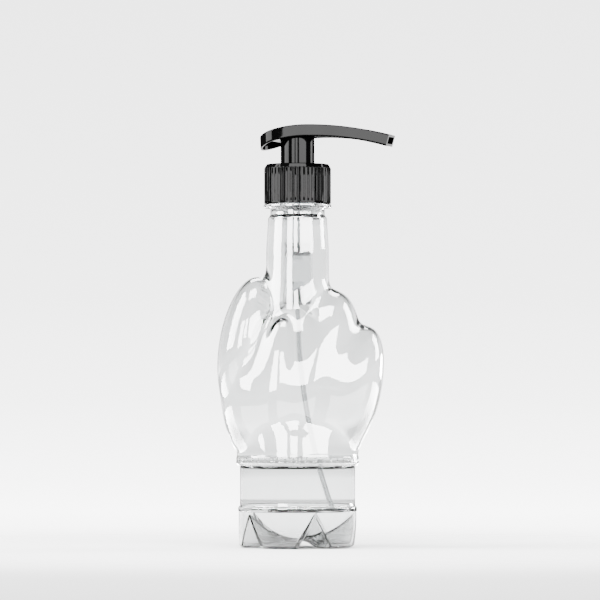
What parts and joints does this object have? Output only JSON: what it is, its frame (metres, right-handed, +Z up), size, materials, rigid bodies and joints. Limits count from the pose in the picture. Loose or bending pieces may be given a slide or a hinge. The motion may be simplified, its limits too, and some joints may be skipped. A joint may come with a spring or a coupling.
{
  "type": "soap pump dispenser",
  "caption": "Clear lobed bottle on a five-footed base with a black screw-on lotion pump: ribbed collar, sprung push head with a long arched spout, dip tube.",
  "frame": {"origin": "the bottle's axis where it meets the table the feet stand on", "axes": "+Z up along the bottle's axis, -Y towards the viewer of the front, +X to that viewer's right, the side the spout points to"},
  "size_m": [0.0869, 0.0602, 0.2068],
  "materials": {
    "clear_pet": "clear, polished",
    "black_gloss": "high gloss",
    "natural_plastic": "clear, slightly milky",
    "seal_plastic": "soft white",
    "spring_steel": "drawn wire",
    "ball_glass": "polished"
  },
  "bodies": {
    "bottle": {"bottle": "clear_pet", "neck_finish": "clear_pet"},
    "pump_body": {"housing": "natural_plastic", "chamber": "natural_plastic", "guide_cup": "black_gloss", "gasket": "seal_plastic", "ball_cage": "natural_plastic", "dip_tube": "natural_plastic"},
    "collar": {"collar": "black_gloss"},
    "inlet_ball": {"inlet_ball": "ball_glass"},
    "spring": {"spring": "spring_steel"},
    "head": {"head_cover": "black_gloss", "spout_body": "black_gloss", "stem": "natural_plastic", "piston_seal": "natural_plastic", "piston_plug": "natural_plastic"},
    "outlet_ball": {"outlet_ball": "spring_steel"}
  },
  "joints": [
    {"name": "pump_lift", "type": "slide", "parent": "bottle", "child": "pump_body", "axis": [0, 0, 1], "range_m": [0, 0.00634]},
    {"name": "collar_turn", "type": "hinge", "parent": "pump_body", "child": "collar", "pos_m": [0, 0, 0.17], "axis": [0, 0, 1], "range_deg": [0, 540]},
    {"name": "head_swivel", "type": "hinge", "parent": "pump_body", "child": "spring", "pos_m": [0, 0, 0.185], "axis": [0, 0, 1], "continuous": true},
    {"name": "pump_press", "type": "slide", "parent": "spring", "child": "head", "axis": [0, 0, -1], "range_m": [0, 0.0098], "stiffness_N_per_m": 1100, "springref_m": -0.007, "deforming": ["spring"]},
    {"name": "inlet_ball_lift", "type": "slide", "parent": "pump_body", "child": "inlet_ball", "axis": [0, 0, 1], "range_m": [0, 0.0016]},
    {"name": "outlet_ball_lift", "type": "slide", "parent": "head", "child": "outlet_ball", "axis": [0, 0, 1], "range_m": [0, 0.0008]}
  ],
  "couplings": [
    {"joint": "collar_turn", "follows": "pump_lift", "rad_per_m": 1485.4}
  ]
}
